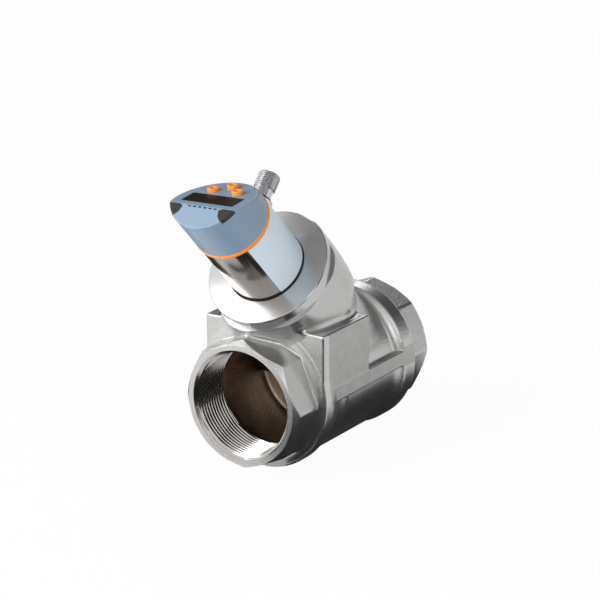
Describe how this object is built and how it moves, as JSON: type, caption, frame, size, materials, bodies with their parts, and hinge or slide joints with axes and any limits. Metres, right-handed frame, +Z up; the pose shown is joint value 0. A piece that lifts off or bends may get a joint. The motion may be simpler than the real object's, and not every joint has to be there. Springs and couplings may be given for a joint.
{
  "type": "flow sensor",
  "caption": "Inline flow sensor: cast Y-body with two pipe threads, spring-loaded piston, and a swivelling display head with plug connector.",
  "frame": {"origin": "centre of the inlet's threaded mouth, where the pipe is screwed in", "axes": "+Z up; the pipe runs along Y and the liquid flows towards -Y; +Y points out of the inlet; the branch leans up towards -Y"},
  "size_m": [0.082, 0.1769, 0.164],
  "materials": {
    "cast_steel": "shot-blasted stainless casting, satin",
    "turned_steel": "turned stainless steel",
    "polished_steel": "drawn and polished stainless tube",
    "nickel": "nickel-plated",
    "spring_steel": "bright spring steel",
    "magnet": "sintered, bare",
    "black_rubber": "matt black",
    "dark_plastic": "moulded, dark brown",
    "grey_blue_plastic": "moulded, satin grey-blue",
    "orange_plastic": "moulded, satin orange",
    "display_glaze": "dark tinted window",
    "smoky_lens": "smoke-tinted lens",
    "dark_marks": "dark light windows",
    "pale_foil": "pale blue-grey polyester foil",
    "circuit_board": "green laminate",
    "gold_pins": "gold-plated contacts"
  },
  "bodies": {
    "valve": {"valve_body": "cast_steel", "seat_ring": "turned_steel", "bonnet": "turned_steel", "bonnet_seal": "black_rubber", "sensor_tube": "turned_steel", "hall_board": "circuit_board", "return_spring": "spring_steel"},
    "piston": {"piston": "dark_plastic", "piston_seal": "black_rubber", "piston_magnet": "magnet", "magnet_clip_lower": "spring_steel", "magnet_clip_upper": "spring_steel"},
    "head": {"accent_ring": "orange_plastic", "base_seal": "black_rubber", "button_switches": "dark_plastic", "connector_insert": "dark_plastic", "connector_pins": "gold_pins", "connector_seal": "black_rubber", "connector_shell": "nickel", "display_board": "circuit_board", "display_housing": "grey_blue_plastic", "display_module": "dark_plastic", "display_window": "display_glaze", "main_board": "circuit_board", "neck_circlip": "spring_steel", "sensor_sleeve": "polished_steel", "status_leds": "dark_marks", "status_lens_left": "smoky_lens", "status_lens_right": "smoky_lens", "swivel_neck": "turned_steel", "type_foil": "pale_foil"},
    "set_button": {"set_button": "orange_plastic"},
    "up_button": {"up_button": "orange_plastic"},
    "down_button": {"down_button": "orange_plastic"}
  },
  "joints": [
    {"name": "piston_lift", "type": "slide", "parent": "valve", "child": "piston", "axis": [0, -0.7071, 0.7071], "range_m": [0, 0.0135], "stiffness_N_per_m": 90, "springref_m": -0.02, "deforming": ["return_spring"]},
    {"name": "head_swivel", "type": "hinge", "parent": "valve", "child": "head", "pos_m": [0, -0.10921, 0.07071], "axis": [0, -0.7071, 0.7071], "range_deg": [-172.5, 172.5]},
    {"name": "set_press", "type": "slide", "parent": "head", "child": "set_button", "axis": [0.0227, 0.0787, -0.9966], "range_m": [0, 0.0008], "stiffness_N_per_m": 250, "springref_m": -0.001},
    {"name": "up_press", "type": "slide", "parent": "head", "child": "up_button", "axis": [0.0227, 0.0787, -0.9966], "range_m": [0, 0.0008], "stiffness_N_per_m": 250, "springref_m": -0.001},
    {"name": "down_press", "type": "slide", "parent": "head", "child": "down_button", "axis": [0.0227, 0.0787, -0.9966], "range_m": [0, 0.0008], "stiffness_N_per_m": 250, "springref_m": -0.001}
  ]
}
